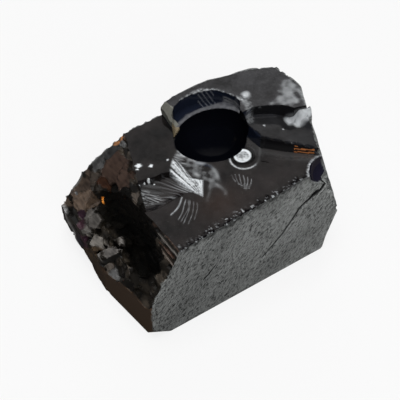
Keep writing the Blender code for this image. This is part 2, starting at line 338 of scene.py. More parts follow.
def follow(route, level=False):
    """For each vertex, how far it is from a drawn route and how far along it. A level route is in x and z."""
    y = start[:, 2] if level else start[:, 1]
    x = start[:, 0]
    gap = np.full(len(x), 1e6)
    run = np.zeros(len(x))
    for step, ((ax, ay), (bx, by)) in enumerate(zip(route, route[1:])):
        dx, dy = bx - ax, by - ay
        part = np.clip(((x - ax) * dx + (y - ay) * dy) / (dx * dx + dy * dy), 0, 1)
        away = np.hypot(x - ax - part * dx, y - ay - part * dy)
        closer = away < gap
        gap[closer] = away[closer]
        run[closer] = ((step + part) / (len(route) - 1))[closer]
    return gap, run


def within(outline):
    """How far inside a drawn outline each vertex is: positive inside, negative outside."""
    gap = follow(outline + outline[:1])[0]
    inside = np.zeros(len(x), bool)
    for (ax, ay), (bx, by) in zip(outline, outline[1:] + outline[:1]):
        crosses = (ay > y) != (by > y)
        inside ^= crosses & (x < (bx - ax) * (y - ay) / (by - ay + 1e-9) + ax)
    return np.where(inside, gap, -gap)


# The faces of the stone, told apart before the relief moves anything. The glass is black all through,
# so every face starts as bare black glass and gets colour, dullness and a pale mix below; much of it is
# painted highlight and shade.
ON_IT = 0.08  # a vertex within this of a face is on it


def on_any(faces):
    return np.any([abs(off(*face)) < ON_IT for face in faces], axis=0)


table_off = z - table_z(x)
on_table = abs(table_off) < ON_IT
on_front = on_any([FRONT])
on_crest = on_any(CREST)
on_step = (abs(z - step_z(y)) < ON_IT) & (x > 44)
on_base = z < ON_IT
on_left = on_any(LEFT_FOOT)
on_back = (off(*BACK[0]) > -ON_IT) | (off(*BACK[1]) > -ON_IT)
on_right = on_any(RIGHT)
torn_side = on_left & (y > 24.5) & (z > 4.2 + 0.5 * np.sin(y)) & (y < 46.5)
on_left &= ~torn_side
rough = ~on_table & ~on_front & ~on_base & ~on_left & ~on_back
rough &= (x < 20) & (z > 7) & (z < table_z(x) + 0.05)
rough |= torn_side
tone = np.tile((0.0035, 0.0035, 0.004), (len(x), 1))
dull = np.full(len(x), 0.13)
frost_and_painted_highlight = np.zeros(len(x))
sheen = np.full(len(x), 0.5)


# The glassy table. One smooth break with low waves in it. On its left a fan of fine ridges spreads
# from a sharp tip, with a white band that is partly frosted break and partly painted highlight, and ripples
# run out from under the fan.
lift = np.zeros(len(x))
chosen = np.flatnonzero(on_table)
lift[chosen] += 0.34 * waves(13, 1, chosen) + 0.07 * waves(4.5, 2, chosen) + 0.012 * waves(1.8, 3, chosen)

turn = np.degrees(np.arctan2(y - FAN_TIP[1], x - FAN_TIP[0]))
reach = np.hypot(x - FAN_TIP[0], y - FAN_TIP[1])
FAN_TOP = [(21.8, 27.2), (19.8, 28.0), (16.9, 28.1), (13.4, 28.8)]
FAN = [*FAN_TOP, (12.4, 26.8), (10.4, 23.6), (9.3, 20.6), (12.0, 19.4), (16.7, 19.6), (21.1, 19.3),
       (23.3, 18.1), (24.6, 15.3), (24.6, 17.5), (22.3, 22.2)]
BAND = [(25.2, 30.9), (26.0, 28.2), (25.6, 24.6), (25.6, 22.0), (27.6, 19.7), (24.6, 15.2), (23.0, 18.9),
        (21.9, 22.2), (21.6, 26.7), (22.7, 28.4)]
TAIL = [(12.6, 26.9), (14.8, 24.9), (16.9, 20.2), (11.8, 20.9), (9.5, 21.3)]
SWIRL = [(27.9, 32.6), (28.5, 28.5), (29.7, 25.4), (31.8, 22.6), (32.0, 19.1), (30.6, 13.3), (28.9, 11.7),
         (26.4, 13.5), (28.2, 19.2), (26.0, 22.6), (26.1, 26.8)]
fan_in, band_in, swirl_in = within(FAN), within(BAND), within(SWIRL)
rays = np.zeros(len(x))
fine = np.flatnonzero(on_table & (reach < 20))
rays[fine] = [
    noise.noise(Vector((turn[n] * 0.30, reach[n] * 0.10, 3.0)))
    + 0.6 * noise.noise(Vector((turn[n] * 0.8, reach[n] * 0.2, 9.0)))
    for n in fine
]
from_top = follow(FAN_TOP)[0]
fan = smooth(-0.15, 0.25, fan_in)
lift -= fan * (0.35 + 0.75 * np.exp(-from_top / 2.4))  # sunk, and deepest along its top
lift += fan * 0.12 * rays
band = smooth(-0.3, 0.5, band_in)
lift += band * (0.25 + 0.12 * rays)
swirl = smooth(-0.6, 1.2, swirl_in)


def ridge(route, width, height):
    """A raised line on the table, or a groove where height is negative, that fades at its ends."""
    global lift
    gap, run = follow(rounded(route))
    fade = np.minimum(1, 6 * np.minimum(run, 1 - run) + 0.15)
    profile = np.exp(-((gap / width) ** 2))
    lift = lift + height * profile * fade
    return profile * fade


ridge([(21.1, 19.3), (16.7, 19.4), (12.0, 19.2), (9.1, 20.5)], 0.45, -0.75)
RIPPLES = [  # route, width and height
    ([(20.1, 18.3), (17.6, 15.9), (14.3, 14.8)], 0.17, 0.36),
    ([(20.6, 17.2), (18.6, 15.2), (17.2, 13.7), (15.1, 12.4)], 0.11, 0.15),
    ([(21.0, 16.8), (19.6, 14.2), (17.7, 13.0), (15.3, 11.5)], 0.10, 0.09),
    ([(21.3, 16.4), (20.0, 14.4), (18.2, 12.6), (15.5, 10.6)], 0.10, 0.13),
    ([(21.9, 15.4), (20.6, 13.6), (19.2, 11.9), (16.5, 9.8)], 0.10, 0.10),
    ([(22.3, 14.5), (21.4, 12.8), (20.4, 11.8), (18.5, 10.0)], 0.10, 0.07),
]
glints = np.zeros(len(x))
for route, width, height in RIPPLES:
    glints += ridge(route, width, height * 0.6) * height * 2.0
DASHES = [  # the fine lines in front of the eye
    [(34.8, 16.8), (34.4, 15.4), (34.3, 14.0)], [(35.6, 16.4), (34.9, 14.6), (34.5, 12.6)],
    [(36.5, 15.8), (35.6, 13.8), (34.6, 11.6)], [(37.2, 14.9), (36.4, 12.9), (34.7, 10.7)],
    [(37.8, 13.7), (36.9, 12.2), (34.9, 10.2)], [(38.3, 12.5), (37.4, 11.4), (35.6, 10.1)],
]
for route in DASHES:
    glints += ridge(route, 0.11, 0.09) * 0.27
ridge([(12.6, 29.2), (13.6, 29.1), (15.9, 28.2), (17.8, 27.7), (19.9, 27.5), (21.8, 27.0)], 0.30, -0.35)
rim = ridge([(27.9, 32.6), (27.8, 29.9), (29.3, 25.8), (31.9, 22.8), (31.9, 19.5), (31.0, 17.2)], 0.50, 0.16)
fold = ridge([(27.0, 25.2), (27.0, 22.3), (29.1, 19.5), (29.9, 15.9), (30.4, 13.5), (29.7, 11.9)], 0.50, 0.12)
fold += ridge([(29.1, 18.6), (27.2, 15.8), (24.4, 12.9)], 0.40, 0.10) * 0.5
ridge([(44.0, 16.2), (46.2, 13.3), (47.9, 10.4), (49.6, 6.3)], 0.20, -0.10)

EYE_GROOVE = 2.95  # how far the groove round the eye is from its middle
ARC_MIDDLE = (41.0, 19.7)
ARC_REACH = 3.95
ARC_WAY = -146  # degrees from X
from_eye = np.hypot(x - EYE[0], y - EYE[1])
lift += 0.18 * np.cos(from_eye * math.tau / 3.3) * np.exp(-((from_eye / 4.0) ** 2))
lift -= 0.35 * np.exp(-(((from_eye - EYE_GROOVE) / 0.35) ** 2))
outer = np.hypot(x - ARC_MIDDLE[0], y - ARC_MIDDLE[1])
around_outer = np.degrees(np.arctan2(y - ARC_MIDDLE[1], x - ARC_MIDDLE[0]))
off_way = abs((around_outer - ARC_WAY + 180) % 360 - 180)
eye_arc = np.exp(-(((outer - ARC_REACH) / 0.22) ** 2)) * smooth(84, 52, off_way)
halo = ridge([(46.6, 24.6), (47.1, 22.0), (46.1, 19.2), (43.6, 16.6), (40.7, 15.0)], 0.35, 0.08)
z += np.where(on_table, lift, 0)

speckle = np.zeros(len(x))
grain = np.zeros(len(x))
top = np.flatnonzero(on_table | on_crest | on_step)
speckle[top] = waves(0.55, 4, top)
grain[top] = waves(1.6, 5, top)
edge_light = np.exp(-((follow([(25.8, 21.5), (27.4, 19.7), (24.8, 15.6)])[0] / 0.7) ** 2))
tail = smooth(-0.3, 0.5, within(TAIL))
upper = smooth(-0.5, 0.8, within([(24.0, 29.6), (25.2, 30.9), (27.9, 32.6), (28.5, 28.5), (26.0, 26.0)]))
fibres = np.zeros(len(x))
fibrous = np.flatnonzero(on_table & (tail + upper > 0))
fibres[fibrous] = [
    noise.noise(Vector(((x[n] * 0.84 + y[n] * 0.54) * 2.4, (x[n] * 0.54 - y[n] * 0.84) * 0.3, 5.0)))
    for n in fibrous
]
# Pale painted on the table: the white band and the fan near its tip are partly frosted break and partly
# painted highlight; the glints on the ripples and dashes, the rims, the beads and the eye's disc and arc are
# painted highlights.
frost_and_painted_highlight += on_table * band * np.clip(0.48 + 0.85 * rays + 0.22 * speckle + 0.4 * edge_light, 0.04, 0.92)
near_tip = np.exp(-np.maximum(reach - 5.0, 0) / 3.0)
frost_and_painted_highlight += on_table * fan * (1 - band) * np.clip(
    0.24 * near_tip * (0.25 + 1.6 * rays) + 0.006 + 0.04 * rays, 0, 1)
frost_and_painted_highlight += on_table * tail * (1 - band) * np.clip(
    0.05 + 0.42 * fibres + 0.06 * speckle, 0, 0.5) * smooth(9.0, 11.0, x)
frost_and_painted_highlight += on_table * upper * (1 - band) * np.clip(0.10 + 0.45 * fibres, 0, 0.5)
frost_and_painted_highlight += on_table * swirl * (1 - band) * np.clip(
    0.05 + 0.14 * grain + 0.04 * speckle, 0, 0.4) * smooth(14, 20, y)
frost_and_painted_highlight += on_table * np.clip(glints * (0.75 + 0.5 * grain), 0, 0.8)
frost_and_painted_highlight += on_table * (
    rim * np.clip(0.15 + 0.15 * grain, 0, 0.4) + fold * np.clip(0.06 + 0.07 * grain, 0, 0.2))
frost_and_painted_highlight += on_table * smooth(2.50, 2.15, from_eye) * np.clip(
    0.55 + 0.45 * smooth(1.5, 2.0, from_eye) + 0.30 * grain + 0.25 * speckle, 0.2, 1)
frost_and_painted_highlight += on_table * eye_arc * np.clip(0.60 + 0.2 * speckle, 0, 1)
frost_and_painted_highlight += on_table * halo * 0.03
PAINTED_GLINTS = ((15.9, 28.4, 0.45), (14.6, 28.4, 0.25), (16.6, 26.6, 0.35), (12.9, 28.0, 0.3),
         (23.6, 31.2, 0.4), (34.6, 23.0, 0.35))  # x, y and radius
for at, along, size in PAINTED_GLINTS:
    frost_and_painted_highlight += on_table * 0.7 * smooth(size, size * 0.4, np.hypot(x - at, y - along) + 0.15 * speckle)
for at, along, size in ((16.2, 34.1, 0.95), (18.9, 32.2, 0.70), (15.2, 33.3, 0.4)):
    frost_and_painted_highlight += on_table * smooth(size, size * 0.5, np.hypot(x - at, y - along) + 0.18 * speckle)
# The table's tone is lighter and browner than the bare glass, and a brown patch is painted in front of the
# fan: painted reflection, over a tone that varies at random.
brown = np.exp(-(((x - 27.1) / 6.5) ** 2) - ((y - 11.0) / 4.5) ** 2)
patches = np.zeros(len(x))
patches[chosen] = 0.5 * waves(11, 8, chosen) + 0.35 * waves(4.0, 9, chosen) + 0.15 * waves(1.5, 10, chosen)
TABLE_TONE = np.array((0.0068, 0.0054, 0.0051))
PAINTED_BROWN_REFLECTION = np.array((0.0075, 0.0026, 0.0006))
tone[on_table] = (TABLE_TONE * np.clip(1 + 1.3 * patches, 0.1, 2.6)[:, None]
                  + PAINTED_BROWN_REFLECTION * brown[:, None])[on_table]
foot = follow([(46.0, 23.5), *WALL])[0]
tone[on_table] += 0.032 * smooth(3.4, 1.0, foot)[on_table, None]
sheen[top] *= np.clip(1 + 0.14 * grain[top] + 0.12 * speckle[top], 0.3, 1.7)
sheen[on_table] *= 0.86
# A fringe of tiny chips runs along the edge over the front face: the edge is pressed in, its colour darkened,
# and bright specks painted on it as highlights.
fringe_off = y - z * math.tan(FRONT_LEAN)
fringe = on_table * smooth(2.4, 0.5, fringe_off + 0.5 * grain) * smooth(6, 9, x)
z -= fringe * np.abs(waves(0.8, 12)) * 0.45
frost_and_painted_highlight += fringe * smooth(0.40, 0.80, waves(0.45, 13)) * (0.34 + 0.25 * waves(3.0, 14))
tone[on_table] *= (1 - 0.7 * fringe)[on_table, None]


# The block behind the table. Its top falls away to the right, where pale patches are painted on as
# highlights with a frosted mottle, and the floor of its step rises to meet it there.
fall = smooth(57, 64, x) * 0.25
z -= np.where(on_crest & (x > 50), fall * (x - 50) / 9, 0)
chosen = np.flatnonzero(on_crest | on_step)
z[chosen] += 0.22 * waves(9, 6, chosen) + 0.06 * waves(3, 7, chosen)
z += 0.8 * np.exp(-(((x - 56) / 5) ** 2) - ((y - 40.5) / 4) ** 2) * smooth(32, 38, z)
step_edge = follow(STEP_EDGE)[0]
z += np.where(on_step, 0.6 * np.exp(-step_edge / 0.4) * smooth(56.5, 53, x), 0)
z += np.where(on_step, 3.4 * np.exp(-((step_edge / 2.6) ** 2)) * smooth(56.2, 59.0, x), 0)
CREST_WHITE = [(57.6, 26.6), (60.2, 29.6), (62.9, 29.8), (62.8, 26.8), (60.8, 24.4), (59.6, 21.0),
               (56.9, 21.6), (53.2, 25.0)]
CREST_STRIP = [(62.9, 26.0), (62.7, 23.2), (61.0, 18.9), (60.1, 18.9), (61.6, 23.4)]
STEP_WHITE = [(55.2, 22.3), (60.9, 21.9), (63.1, 20.3), (61.1, 16.7), (57.1, 16.8), (54.8, 19.4)]
mottle = 0.80 + 0.16 * grain + 0.16 * speckle
# The pale patches on the top and on the step are painted highlights, mottled like a frosted break.
frost_and_painted_highlight += on_crest * smooth(-1.0, 1.2, within(CREST_WHITE) + 0.8 * grain) * (mottle + 0.1 * grain) * 0.30
frost_and_painted_highlight += on_crest * smooth(-0.5, 0.5, within(CREST_STRIP) + 0.3 * grain) * mottle * 0.22
frost_and_painted_highlight += on_step * smooth(-0.4, 0.9, within(STEP_WHITE) + 0.4 * grain) * mottle * 0.66
frost_and_painted_highlight += on_crest * smooth(1.7, 0.3, np.hypot(x - 49.6, y - 32.2) + 0.6 * grain) * 0.55
# The top and the step get a grey tone for the light they reflect, the step darker: painted light and painted
# shade.
chosen = np.flatnonzero(on_crest | on_step)
patches[chosen] = 0.5 * waves(6, 15, chosen) + 0.3 * waves(2.2, 16, chosen)
CREST_TONE = np.array((0.022, 0.022, 0.0235))
tone[chosen] = CREST_TONE * np.clip(1 + patches[chosen] + 0.25 * speckle[chosen], 0.3, 2)[:, None]
tone[on_step] *= 0.45
neck = follow(rounded([(48.9, 31.7), (47.8, 28.9), (47.0, 25.8)]))[0]
on_neck = (z > 33.5) * smooth(23.5, 25.5, y) * smooth(1.4, 0.3, neck + 0.3 * waves(1.2, 17))
frost_and_painted_highlight += on_neck * np.clip(0.10 + 0.22 * waves(0.6, 18), 0.02, 0.6)
from_bowl = within_hollow(BOWL)
BOWL_SKIN = 0.015  # a vertex within this share of the bowl's size is on the bowl
scooped = (x > 29) & (x < 48) & (y > 20) & (y < 44.5) & (z > table_z(x) + 0.1)
scooped &= ~on_crest & ~on_step & ~on_back
in_bowl = abs(from_bowl - 1) < BOWL_SKIN
in_crescent = scooped & (from_bowl > 1 + BOWL_SKIN) & (z < 38.5)
# The bowl and the crescent are painted darker and bluer than the bare glass, with the specular level cut:
# painted shade in the hollows, tinted blue as the reflection there is.
tone[in_bowl] = (0.0012, 0.0014, 0.0025)
sheen[in_bowl] = 0.12
tone[in_crescent] = (0.006, 0.008, 0.015)
sheen[in_crescent] = 0.25
# A pale ledge is painted inside the crescent along the bowl's rim: a painted highlight on the rim.
ledge_width = 0.11 + 0.22 * smooth(42, 48, x)
ledge = in_crescent * smooth(1.06 + ledge_width, 1.0 + ledge_width, from_bowl + 0.02 * waves(1.5, 19))
ledge[(z > 36.5) | (y < 26)] = 0
tone += (ledge * np.clip(0.075 + 0.03 * waves(1.0, 20), 0.02, 1))[:, None]
RIB_GAP = 1.15
ribs = in_crescent * (x > 40.2) * (x < 43.8) * (1 - ledge)
frost_and_painted_highlight += ribs * smooth(0.35, 0.9, np.cos((x + 0.45 * z) * math.tau / RIB_GAP)) * 0.09
# The broken rims get painted highlights, and so does a row of small spots on the step.
lip = follow(rounded([(35.4, 43.1), (38.9, 42.8), (41.7, 41.2), (45.7, 35.9), (47.6, 30.5)]))[0]
frost_and_painted_highlight += on_crest * np.exp(-((lip / 0.5) ** 2)) * np.clip(0.25 + 0.4 * speckle, 0, 0.6)
for at, along, size in ((49.4, 22.6, 0.30), (52.7, 18.7, 0.24), (51.9, 13.4, 0.25)):
    frost_and_painted_highlight += on_step * smooth(size, size * 0.4, np.hypot(x - at, y - along))


# The rough end, where the stone tore in flat splinters along one direction. Each vertex goes onto
# the plane of the nearest splinter. The large ones are listed, and thin ones fill the rest.
def toned(value, red=1.0, blue=1.0):
    return (value * red, value, value * blue)


# Each splinter's tone is partly its own colour and partly painted light and shade: facets turned to the light
# are painted paler, facets turned away near-black, as in the rows of ribs on the bevel.
#    middle             faces                  long way           size stretch  tone
SPLINTERS = [
    ((0.5, 24.7, 11.6), (-0.22, -0.32, 0.92), (6.4, -2.2, 1.0), 1.45, 2.9, toned(0.068, 1.1, 0.9)),
    ((0.8, 22.6, 10.0), (-0.20, -0.90, 0.30), (6.4, -2.2, 2.4), 1.1, 3.2, toned(0.004)),
    ((-0.9, 28.9, 12.9), (-0.30, -0.40, 0.87), (0, 1, 0), 1.8, 1.2, toned(0.080, 1.10, 0.88)),
    ((-2.2, 27.0, 10.6), (-0.80, -0.40, 0.40), (0, 1, 0), 1.1, 1.4, toned(0.030, 1.5, 0.6)),
    ((1.9, 30.6, 12.0), (-0.10, -0.60, 0.80), (0, 1, 0), 1.1, 1.4, toned(0.012, 1.2, 0.8)),
    ((1.5, 34.3, 14.4), (-0.42, -0.25, 0.86), (0, 1, 0), 2.1, 1.3, toned(0.045, 1.1, 0.9)),
    ((-0.3, 38.5, 14.0), (-0.75, -0.25, 0.60), (0, 1, 0), 1.2, 1.0, (0.020, 0.009, 0.015)),
    ((-1.5, 36.3, 12.6), (-0.70, 0.25, 0.65), (0, 1, 0), 0.9, 1.0, (0.032, 0.013, 0.020)),
    ((-1.6, 40.2, 12.2), (-0.90, 0.20, 0.35), (0, 1, 0), 1.3, 1.4, toned(0.003)),
    ((2.0, 41.3, 16.0), (-0.38, -0.34, 0.86), (1, 0.4, 0), 2.8, 1.5, toned(0.043, 1.45, 0.7)),
    ((4.4, 44.5, 17.4), (-0.55, -0.05, 0.83), (1, 0.2, 0), 2.7, 1.4, toned(0.032, 1.40, 0.75)),
    ((6.6, 42.2, 20.4), (-0.50, -0.55, 0.65), (1, 0, 0.6), 1.3, 1.5, toned(0.030, 1.25, 0.8)),
    ((5.4, 46.2, 18.9), (-0.60, -0.20, 0.70), (1, 0, 0.6), 0.9, 1.3, toned(0.002)),
    ((9.8, 44.6, 22.4), (-0.25, -0.10, 0.96), (1, 0, 0.6), 1.5, 1.5, toned(0.026)),
    ((13.0, 44.4, 24.5), (-0.55, 0.10, 0.82), (1, 0, 0.6), 1.3, 1.5, toned(0.020)),
    ((16.6, 46.0, 26.2), (-0.60, -0.10, 0.75), (1, 0, 0.5), 0.42, 1.7, (0.26, 0.115, 0.045)),
    ((11.2, 39.4, 24.0), (-0.62, -0.10, 0.78), (0.3, 1, 0), 2.7, 1.5, toned(0.022, 1.6, 0.75)),
    ((11.2, 34.6, 24.4), (-0.58, -0.10, 0.80), (0.2, 1, 0), 2.5, 1.5, toned(0.024, 1.6, 0.75)),
    ((10.5, 29.9, 25.2), (-0.75, 0.40, 0.50), (0, 1, 0), 1.0, 1.2, toned(0.002)),
    ((10.4, 26.2, 26.0), (-0.42, -0.10, 0.90), (0, 1, 0), 1.2, 1.6, toned(0.044, 1.25, 0.8)),
    ((5.8, 37.0, 17.4), (-0.50, -0.30, 0.80), (0, -0.3, -1), 0.24, 8.0, (0.60, 0.21, 0.03)),
    ((7.6, 39.3, 20.8), (-0.45, -0.45, 0.75), (0, 1, 0), 1.3, 1.6, (0.020, 0.008, 0.004)),
    ((-1.5, 22.4, 9.2), (-0.30, -0.10, 0.95), (1, 0, 0), 0.9, 1.5, toned(0.035, 1.25, 0.8)),
    ((2.6, 21.8, 10.6), (-0.30, -0.45, 0.85), (1, -1, 0), 0.8, 1.8, toned(0.050)),
    ((10.1, 10.5, 26.95), (-0.10, 0.00, 1.00), (0.08, -1, 0), 0.34, 18, (0.030, 0.018, 0.013)),
    ((9.75, 10.0, 26.3), (-1.00, 0.00, 0.20), (0.08, -1, 0), 0.34, 18, toned(0.002)),
    ((9.4, 10.0, 25.75), (-0.25, 0.00, 1.00), (0.08, -1, 0), 0.34, 18, toned(0.055, 1.1, 0.9)),
    ((9.05, 9.5, 25.1), (-1.00, 0.00, 0.20), (0.08, -1, 0), 0.34, 18, toned(0.002)),
    ((8.7, 9.0, 24.6), (-0.30, -0.10, 1.00), (0.10, -1, 0), 0.34, 18, (0.040, 0.020, 0.013)),
    ((8.35, 8.5, 24.0), (-1.00, 0.00, 0.20), (0.10, -1, 0), 0.34, 16, toned(0.002)),
    ((8.0, 8.0, 23.4), (-0.30, -0.10, 1.00), (0.12, -1, 0), 0.36, 14, toned(0.045, 1.3, 0.8)),
    ((7.5, 7.5, 22.4), (-1.00, 0.00, 0.20), (0.12, -1, 0), 0.45, 14, toned(0.002)),
    ((-3.5, 28.5, 6.4), (-0.95, -0.10, 0.20), (0, 1, 0.2), 1.6, 1.6, toned(0.020, 1.5, 0.6)),
    ((-3.5, 37.0, 5.6), (-0.90, 0.10, 0.30), (0, 1, 0.2), 1.6, 1.6, (0.008, 0.007, 0.014)),
    ((-2.4, 33.2, 8.4), (-0.80, -0.20, 0.50), (0, 1, 0), 0.9, 1.4, (0.036, 0.015, 0.024)),
]
THIN_TRIES = 300
CLEAR_OF_LARGE = 1.25  # in sizes of the large splinter
PALE_ONE_IN = 23
draw = random.Random(11)
zone = np.flatnonzero(rough)
seeds = [[np.array(part, float) for part in splinter] for splinter in SPLINTERS]
trough = follow([(9.6, 39.0), (7.6, 33.0), (7.8, 25.0), (7.0, 17.0), (4.6, 9.0)])[0]
large = [(seed[0], seed[3]) for seed in seeds]
for extra in range(THIN_TRIES):
    spot = zone[draw.randrange(len(zone))]
    if min(np.linalg.norm(start[spot] - middle) / size for middle, size in large) < CLEAR_OF_LARGE:
        continue
    in_trough = smooth(5.0, 2.0, trough[spot])
    tilt = 0.50 - 0.30 * in_trough
    way = facing[spot] + np.array([draw.uniform(-tilt, tilt) for axis in range(3)])
    long_way = np.array([draw.uniform(-0.1, 0.5), 1, draw.uniform(-0.5, 0.2)])
    size = draw.uniform(0.30, 0.7) + 0.4 * in_trough
    # Near the trench their tone is taken almost to black: painted shade in the trench. Every so often one is
    # painted pale.
    colour = toned((0.003 + 0.030 * draw.random() ** 3) * (1 - 0.94 * in_trough), 1.25, 0.75)
    if extra % PALE_ONE_IN == 7 and in_trough < 0.3:
        colour = toned(0.07)
    middle = start[spot] + facing[spot] * draw.uniform(-0.4, 0.25)
    seeds.append([middle, way, long_way, size, draw.uniform(1.5, 3.5), np.array(colour)])
nearest = np.full(len(zone), 1e6)
owner = np.zeros(len(zone), int)
wobble = np.stack([waves(1.1, seed, zone) for seed in (21, 22, 23)], 1) * 0.06
for number, (middle, way, long_way, size, stretch, colour) in enumerate(seeds):
    away = start[zone] + wobble - middle
    along = away @ (long_way / np.linalg.norm(long_way))
    away = np.sqrt((away**2).sum(1) - along**2 + (along / stretch) ** 2) / size
    closer = away < nearest
    nearest[closer] = away[closer]
    owner[closer] = number
middles = np.array([seed[0] for seed in seeds])[owner]
ways = np.array([seed[1] / np.linalg.norm(seed[1]) for seed in seeds])[owner]
heights = np.clip(np.einsum("ij,ij->i", start[zone] - middles, ways), -1.4, 1.4)
heights *= smooth(46.5, 43.5, start[zone, 1])  # none along the back edge
moved = start[zone] - ways * heights[:, None]
x[zone], y[zone], z[zone] = moved.T
x[zone] = np.maximum(x[zone], -3.7)
x[torn_side] = np.minimum(x[torn_side], -3.0)
tone[zone] = np.array([seed[5] for seed in seeds])[owner]
across = start[zone, 0] * 0.8 + start[zone, 2] * 0.6
grooves = [noise.noise(Vector((value * 3.2, start[n, 1] * 0.35, 2.0))) for value, n in zip(across, zone)]
tone[zone] *= np.clip(1 + 0.35 * waves(1.3, 24, zone) + 0.9 * np.array(grooves), 0.15, 2.5)[:, None]
dull[zone] = 0.36 + 0.40 * smooth(5.0, 2.0, trough[zone]) * (owner >= len(SPLINTERS))
far = smooth(27, 34, y)[on_left, None]
FOOT_BROWN = np.array((0.045, 0.027, 0.016))
FOOT_GREY = np.array((0.22, 0.22, 0.215))
tone[on_left] = FOOT_BROWN * (1 - far) + FOOT_GREY * far
dull[on_left] = 0.5
sheen[zone[trough[zone] < 3]] = 0.4
# A little painted ambient light is added to the whole rough end.
tone[zone] += np.array((0.0016, 0.0015, 0.0009))
# A pale strip is painted along the left end where its edge catches the light: painted light.
PAINTED_LIGHT_STRIP = ((35.2, 38.1, 39.6, 41.3, 44.1, 45.5), (2.5, 3.7, 5.5, 6.8, 8.6, 12.5))  # its y and z
painted_light_line = np.interp(start[:, 1], *PAINTED_LIGHT_STRIP)
pale = (torn_side | on_left) * smooth(2.2, 0.9, abs(start[:, 2] - painted_light_line)) * smooth(33, 36, start[:, 1])
tone[:] = tone * (1 - pale[:, None]) + (0.42 * pale * np.clip(0.8 + 0.5 * waves(2.2, 25), 0.3, 1.2))[:, None]


# The block's left end is bevelled, with a dull tan skin. A tan flake stands at the bowl's left rim,
# and two orange streaks of rust cross the wall under the step.
bevel = (abs(off((33.3, 46.5, 34.5), BEVEL_FACING)) < 0.15) | (x < 32.5) & (y > 39.5)
bevel &= (z > table_z(x) + 0.6) & ~on_back
tone[bevel] = (0.13, 0.13, 0.112)
dull[bevel] = 0.6
flake = np.sqrt(((x - 30.4) / 1.9) ** 2 + ((y - 37.8) / 2.0) ** 2 + ((z - 30.3) / 3.2) ** 2)
flaked = (flake < 1) & (z > table_z(x) + 0.3)
tone[flaked] = (0.15, 0.12, 0.075)
dull[flaked] = 0.5
wall = (abs(within([*WALL, (66, 1), (70, 17), (48, 27)])) < 0.12) & (table_off > 0.5)
streaks = abs((z - 32.0 - 0.15 * (x - 56)) % 1.2 - 0.6) < 0.24
rust = wall & streaks & (x > 52.6) & (x < 56.4) & (z > 30.9) & (z < 33.2)
tone[rust] = (0.38, 0.13, 0.035)
dull[rust] = 0.45

from_corner = within_hollow(CORNER_SCAR)
in_corner = abs(from_corner - 1) < 0.02
tone[in_corner] = (0.008, 0.007, 0.014)
frost_and_painted_highlight += on_table * smooth(1.16, 1.04, from_corner) * np.clip(0.35 + 0.35 * speckle, 0, 0.8)


# The chipped edges. Carbon glass is brittle, so every sharp edge has lost small flakes of stone. Each
# chip is a small shallow scallop across the edge between two faces.
def chip(middle, normal, radius, depth):
    """Presses the stone in to a scallop of the given radius and depth, in millimetres."""
    global x, y, z
    normal = np.array(normal) / np.linalg.norm(normal)
    spots = np.stack([x, y, z], 1) - np.array(middle)
    height = spots @ normal
    aside = np.sqrt(np.maximum((spots**2).sum(1) - height**2, 0))
    over = height - depth * ((aside / radius) ** 2 - 1)
    hit = (over > 0) & (aside < radius) & (abs(height) < radius + depth)
    x[hit] -= over[hit] * normal[0]
    y[hit] -= over[hit] * normal[1]
    z[hit] -= over[hit] * normal[2]


def chip_along(route, normal, gap, depths, seed):
    """Chips along a drawn edge. They stand gap apart, and their cuts are between the two depths deep."""
    draw = random.Random(seed)
    normal = np.array(normal) / np.linalg.norm(normal)
    for here, ahead in zip(route, route[1:]):
        here, ahead = np.array(here, float), np.array(ahead, float)
        count = max(1, round(np.linalg.norm(ahead - here) / gap))
        for number in range(count):
            depth = draw.uniform(*depths) * draw.uniform(0.3, 1)
            spot = here + (ahead - here) * (number + draw.random()) / count
            tilt = np.array([draw.uniform(-0.35, 0.35) for axis in range(3)])
            chip(spot, normal + tilt, depth * draw.uniform(1.5, 2.4) + 0.3, depth)


def front_y(z):
    return z * math.tan(FRONT_LEAN)


table_edge = [(at, front_y(table_z(at)), table_z(at)) for at in (7.5, 20, 32, 44, 54)]
chip_along(table_edge, (0, -0.6, 0.8), 0.55, (0.15, 0.75), 41)
chip_along([(7.5, 3.7, 26.5), (4.0, 2.8, 20.0), (0.4, 2.0, 13.2)], (-0.5, -0.8, 0.1), 0.6, (0.2, 0.9), 42)
chip_along([(0.4, 2.0, 13.2), (-0.5, 0.9, 6), (-1.0, 0.6, 1)], (-0.7, -0.7, 0), 1.0, (0.1, 0.5), 43)
chip_along([(-3.2, 20, 0), (-3.0, 40, 0)], (-0.9, 0, -0.5), 2.4, (0.05, 0.35), 45)
left_edge = [(-2.6, 10, 9), (-3.2, 20, 7), (-3.2, 30, 8), (-2.8, 40, 9.5)]
chip_along(left_edge, (-0.9, 0, 0.5), 1.4, (0.1, 0.5), 46)
wall_edge = [(46, 24, 34.8), (46.3, 19.8, 34.4), (50.9, 14.6, 34), (56.6, 9.6, 33.6)]
chip_along(wall_edge, (-0.6, -0.6, 0.6), 0.7, (0.1, 0.4), 47)
chip_along([(61.5, 1.4, 11), (60.2, 4.0, 19), (56.4, 4.6, 28.5)], (0.7, -0.7, 0.1), 1.2, (0.2, 1.0), 48)
chip_along([(56, 6, 31), (59, 12, 34), (62.1, 18.7, 35), (64, 27, 38)], (0.8, -0.3, 0.6), 1.1, (0.2, 0.9), 49)
chip_along([(64, 30, 38.6), (62.4, 37, 38.8), (50, 42, 38.3)], (0.5, 0.6, 0.6), 1.6, (0.1, 0.4), 50)
chip_along([(50, 42, 38.3), (38, 46, 36), (32, 46.8, 33)], (0, 0.7, 0.7), 1.8, (0.1, 0.45), 51)
chip_along([(10, 47.5, 22.5), (20, 47.3, 27.5), (31, 47, 28.7)], (-0.1, 0.7, 0.7), 1.3, (0.2, 0.9), 52)
chip_along([(-2.6, 47.5, 8.6), (2.4, 47.5, 16.8), (10, 47.5, 22.5)], (-0.5, 0.6, 0.6), 1.3, (0.15, 0.6), 53)


